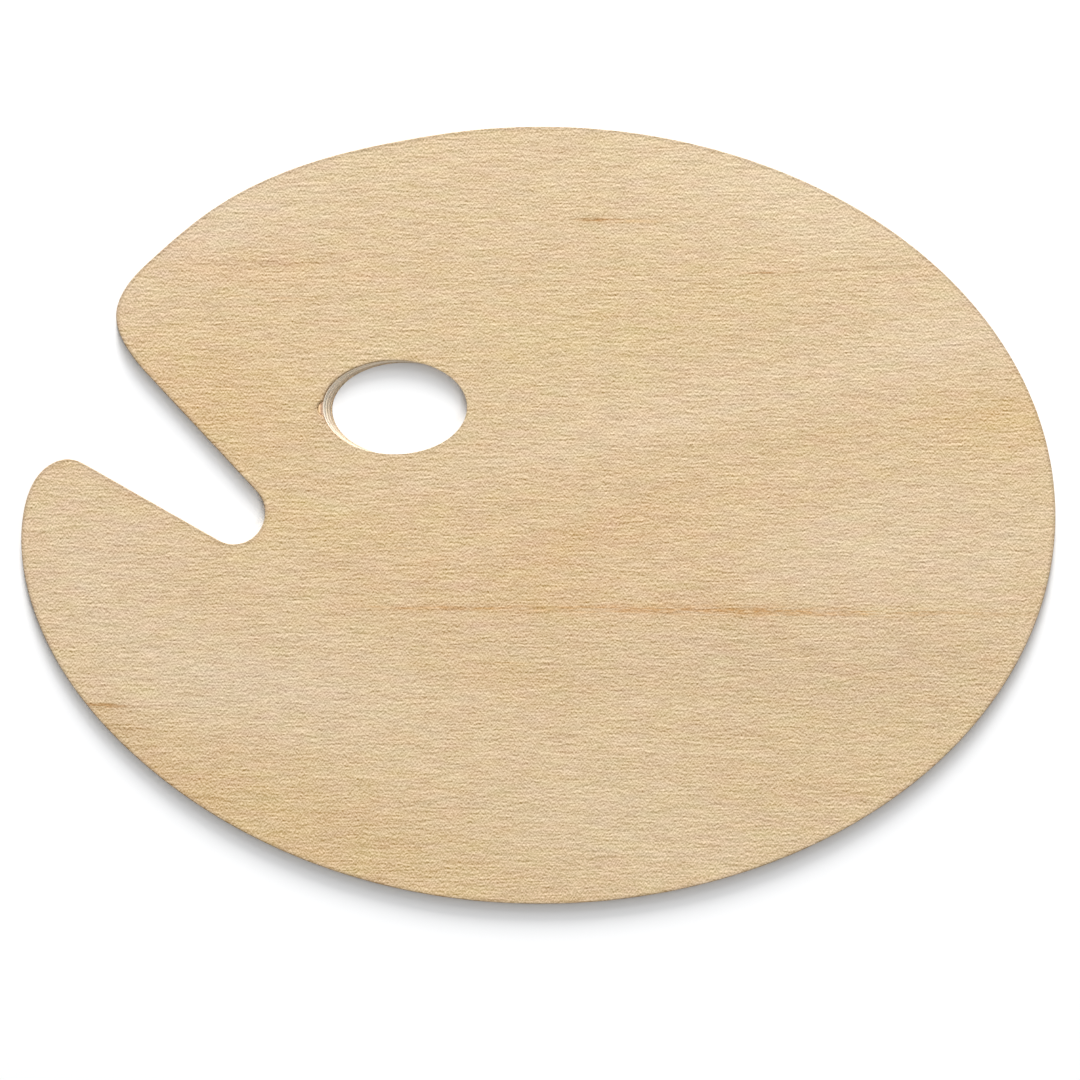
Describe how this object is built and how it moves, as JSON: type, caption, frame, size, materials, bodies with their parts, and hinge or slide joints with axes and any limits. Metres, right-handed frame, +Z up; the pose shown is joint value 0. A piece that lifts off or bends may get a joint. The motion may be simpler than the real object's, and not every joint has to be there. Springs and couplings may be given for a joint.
{
  "type": "mixing palette",
  "caption": "Flat oval painter's palette in plywood, with a leaning thumb hole and a tapering notch for the brushes.",
  "frame": {"origin": "on the underside, below the middle of the outline's bounding box", "axes": "+X along the long axis and the grain of the face veneer, away from the hand end; +Y towards the edge beside the thumb hole; +Z up out of the mixing face"},
  "size_m": [0.4064, 0.3054, 0.0048],
  "materials": {
    "face_veneer": "fine-sanded pale veneer, long grain along X, bare",
    "crossband": "cream ply, grain along Y, sawn and sanded at the edge",
    "core_ply": "pale ply, grain along X, sawn and sanded at the edge",
    "back_veneer": "sanded veneer, long grain along X, bare",
    "glue": "cured resin film, dark amber, sanded flush at the edge"
  },
  "bodies": {
    "root": {"face_veneer": "face_veneer", "face_glue_line": "glue", "upper_crossband": "crossband", "upper_core_glue_line": "glue", "core_ply": "core_ply", "lower_core_glue_line": "glue", "lower_crossband": "crossband", "back_glue_line": "glue", "back_veneer": "back_veneer"}
  },
  "joints": []
}
